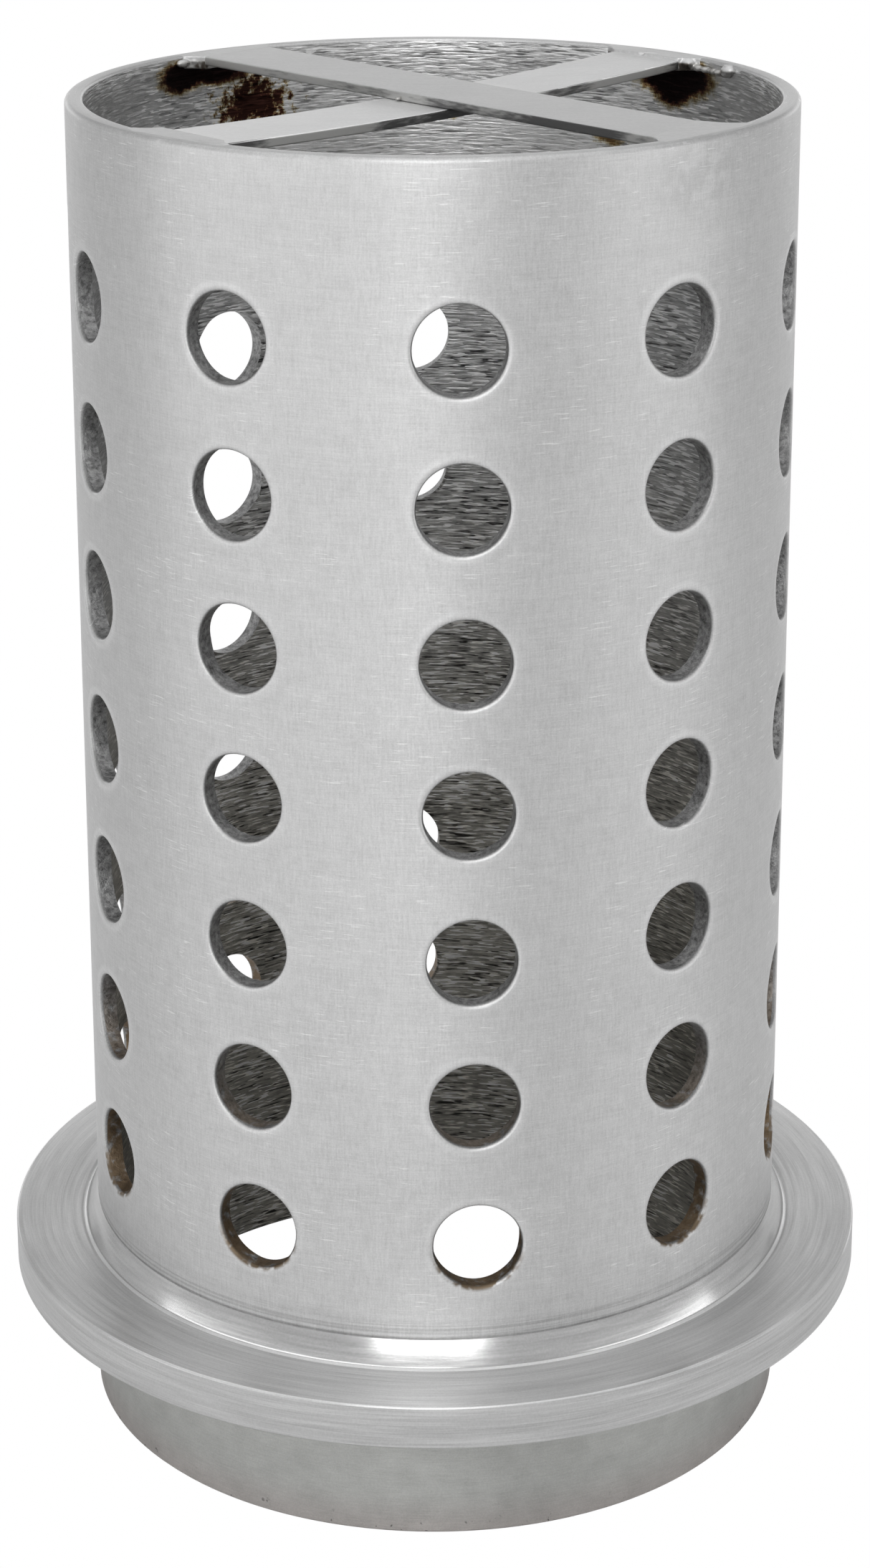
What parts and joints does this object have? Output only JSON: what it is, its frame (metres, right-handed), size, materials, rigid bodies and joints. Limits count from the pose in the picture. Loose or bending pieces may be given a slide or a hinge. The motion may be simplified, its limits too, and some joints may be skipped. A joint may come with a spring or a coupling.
{
  "type": "perforated casting flask",
  "caption": "Perforated steel tube with a flat flange ring near its open end and flat crossbars welded across the other end.",
  "frame": {"origin": "centre of the collar's bottom edge, on the barrel's axis", "axes": "+Z along the barrel from the collar to the crossbar end; -Y is the front; the crossbars run at about 45 degrees between X and Y"},
  "size_m": [0.1262, 0.1262, 0.1948],
  "materials": {
    "barrel_steel": "satin, fine turning lines outside, rough dark bore",
    "flange_steel": "faced on a lathe, concentric lines",
    "turned_weld": "turned bright cone",
    "bar_steel": "plain satin strip",
    "bead_steel": "weld metal, ground or as laid"
  },
  "bodies": {
    "root": {"barrel": "barrel_steel", "flange_ring": "flange_steel", "flange_weld": "turned_weld", "upper_crossbar": "bar_steel", "lower_crossbar": "bar_steel", "upper_bar_front_weld": "bead_steel", "upper_bar_back_weld": "bead_steel", "lower_bar_front_weld": "bead_steel", "lower_bar_back_weld": "bead_steel", "crossing_tack": "bead_steel"}
  },
  "joints": []
}
